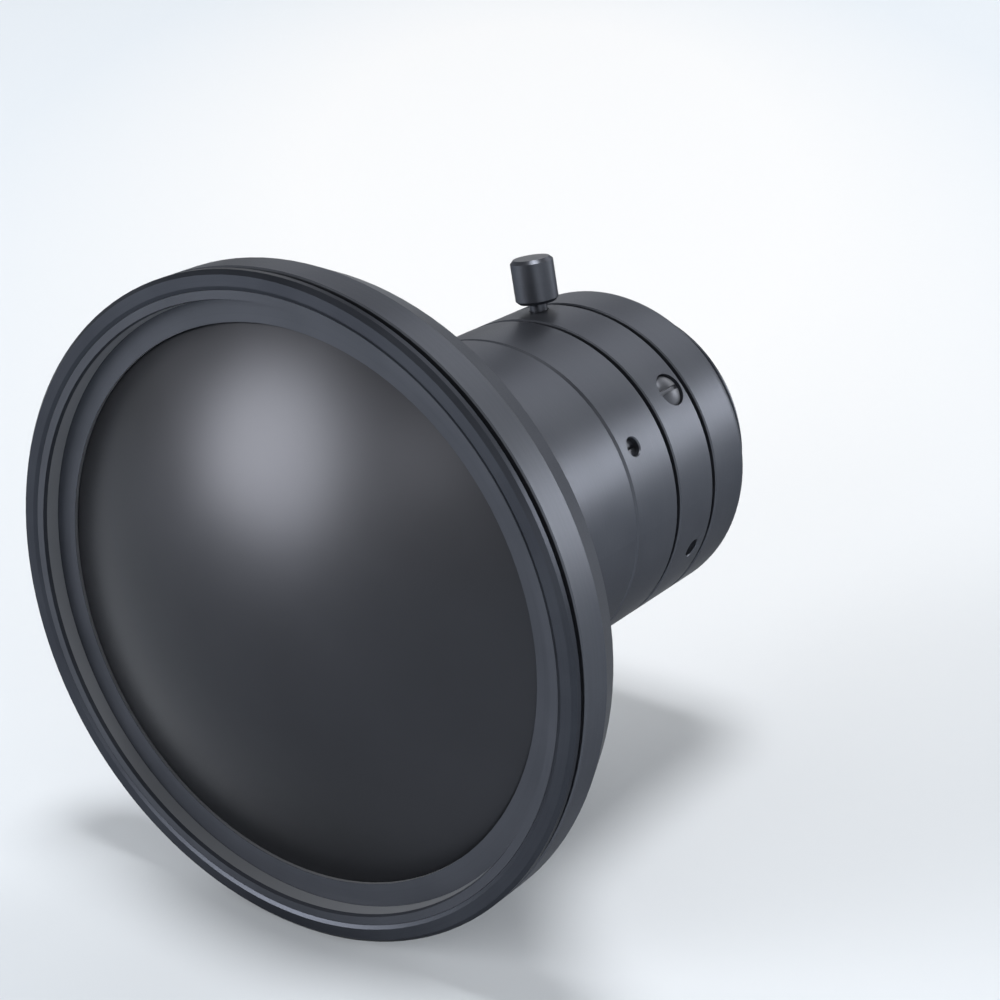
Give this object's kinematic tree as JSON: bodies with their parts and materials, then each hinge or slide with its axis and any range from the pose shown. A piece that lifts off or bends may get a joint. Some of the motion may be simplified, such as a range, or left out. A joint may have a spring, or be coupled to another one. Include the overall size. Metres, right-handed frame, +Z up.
{
  "type": "c-mount lens",
  "caption": "Wide-angle C-mount lens with a large domed front element, a focus ring, an iris ring with a lock screw and a working iris diaphragm.",
  "frame": {"origin": "centre of the mount's flange face, on the lens axis", "axes": "the lens axis runs along Y with the front towards -Y and the mount thread towards +Y; +Z is up, with the lock screw near the top"},
  "size_m": [0.0562, 0.058, 0.0562],
  "materials": {
    "barrel_finish": "dark slate-grey satin anodised",
    "ring_finish": "dark satin anodised",
    "screw_finish": "blackened, satin",
    "inner_black": "matt black anodised",
    "brass": "plain machined",
    "steel": "ground",
    "blade_steel": "blackened, matt",
    "front_glass": "coated, looks dark and satin from outside",
    "inner_glass": "polished, coated"
  },
  "bodies": {
    "mount": {"mount_barrel": "barrel_finish", "mount_thread_ring": "ring_finish", "rear_cell": "inner_black", "rear_doublet_crown": "inner_glass", "rear_doublet_flint": "inner_glass", "rear_spacer": "inner_black", "rear_element": "inner_glass", "rear_retaining_ring": "inner_black", "iris_housing": "brass", "iris_cover": "inner_black", "iris_retaining_ring": "ring_finish", "focus_retaining_ring": "brass", "focus_guide_pin": "steel"},
    "iris_ring": {"iris_ring": "barrel_finish", "iris_guide_screw": "screw_finish", "iris_set_screws": "screw_finish", "iris_actuator": "brass"},
    "lock_screw": {"iris_lock_screw": "screw_finish"},
    "blade_1": {"iris_blade_1": "blade_steel"},
    "blade_2": {"iris_blade_2": "blade_steel"},
    "blade_3": {"iris_blade_3": "blade_steel"},
    "blade_4": {"iris_blade_4": "blade_steel"},
    "blade_5": {"iris_blade_5": "blade_steel"},
    "blade_6": {"iris_blade_6": "blade_steel"},
    "focus_ring": {"focus_ring": "barrel_finish", "focus_set_screws": "screw_finish", "helicoid_ring": "brass"},
    "front_group": {"front_barrel": "barrel_finish", "front_bezel": "barrel_finish", "front_retaining_ring": "ring_finish", "front_element": "front_glass", "second_element": "inner_glass", "second_retaining_ring": "inner_black", "third_element": "inner_glass", "front_group_spacer": "inner_black", "fourth_element": "inner_glass", "inner_retaining_ring": "inner_black"}
  },
  "joints": [
    {"name": "focus_turn", "type": "hinge", "parent": "mount", "child": "focus_ring", "pos_m": [0, -0.0158, 0], "axis": [0, 1, 0], "range_deg": [0, 115]},
    {"name": "focus_travel", "type": "slide", "parent": "mount", "child": "front_group", "axis": [0, -1, 0], "range_m": [0, 0.0004]},
    {"name": "iris_turn", "type": "hinge", "parent": "mount", "child": "iris_ring", "pos_m": [0, -0.0091, 0], "axis": [0, -1, 0], "range_deg": [0, 56]},
    {"name": "blade_1_swing", "type": "hinge", "parent": "mount", "child": "blade_1", "pos_m": [0.009, -0.0061, 0.00272], "axis": [0, -1, 0], "range_deg": [0, 36]},
    {"name": "blade_2_swing", "type": "hinge", "parent": "mount", "child": "blade_2", "pos_m": [0.00215, -0.0061, 0.00915], "axis": [0, -1, 0], "range_deg": [0, 36]},
    {"name": "blade_3_swing", "type": "hinge", "parent": "mount", "child": "blade_3", "pos_m": [-0.00685, -0.0061, 0.00643], "axis": [0, -1, 0], "range_deg": [0, 36]},
    {"name": "blade_4_swing", "type": "hinge", "parent": "mount", "child": "blade_4", "pos_m": [-0.009, -0.0061, -0.00272], "axis": [0, -1, 0], "range_deg": [0, 36]},
    {"name": "blade_5_swing", "type": "hinge", "parent": "mount", "child": "blade_5", "pos_m": [-0.00215, -0.0061, -0.00915], "axis": [0, -1, 0], "range_deg": [0, 36]},
    {"name": "blade_6_swing", "type": "hinge", "parent": "mount", "child": "blade_6", "pos_m": [0.00685, -0.0061, -0.00643], "axis": [0, -1, 0], "range_deg": [0, 36]},
    {"name": "lock_screw_turn", "type": "hinge", "parent": "iris_ring", "child": "lock_screw", "pos_m": [-0.00294, -0.00825, 0.01542], "axis": [-0.1874, 0, 0.9823], "range_deg": [-40, 360]}
  ],
  "couplings": [
    {"joint": "focus_turn", "follows": "focus_travel", "rad_per_m": 4799.8},
    {"joint": "blade_1_swing", "follows": "iris_turn", "ratio": 0.625},
    {"joint": "blade_2_swing", "follows": "iris_turn", "ratio": 0.625},
    {"joint": "blade_3_swing", "follows": "iris_turn", "ratio": 0.625},
    {"joint": "blade_4_swing", "follows": "iris_turn", "ratio": 0.625},
    {"joint": "blade_5_swing", "follows": "iris_turn", "ratio": 0.625},
    {"joint": "blade_6_swing", "follows": "iris_turn", "ratio": 0.625}
  ]
}
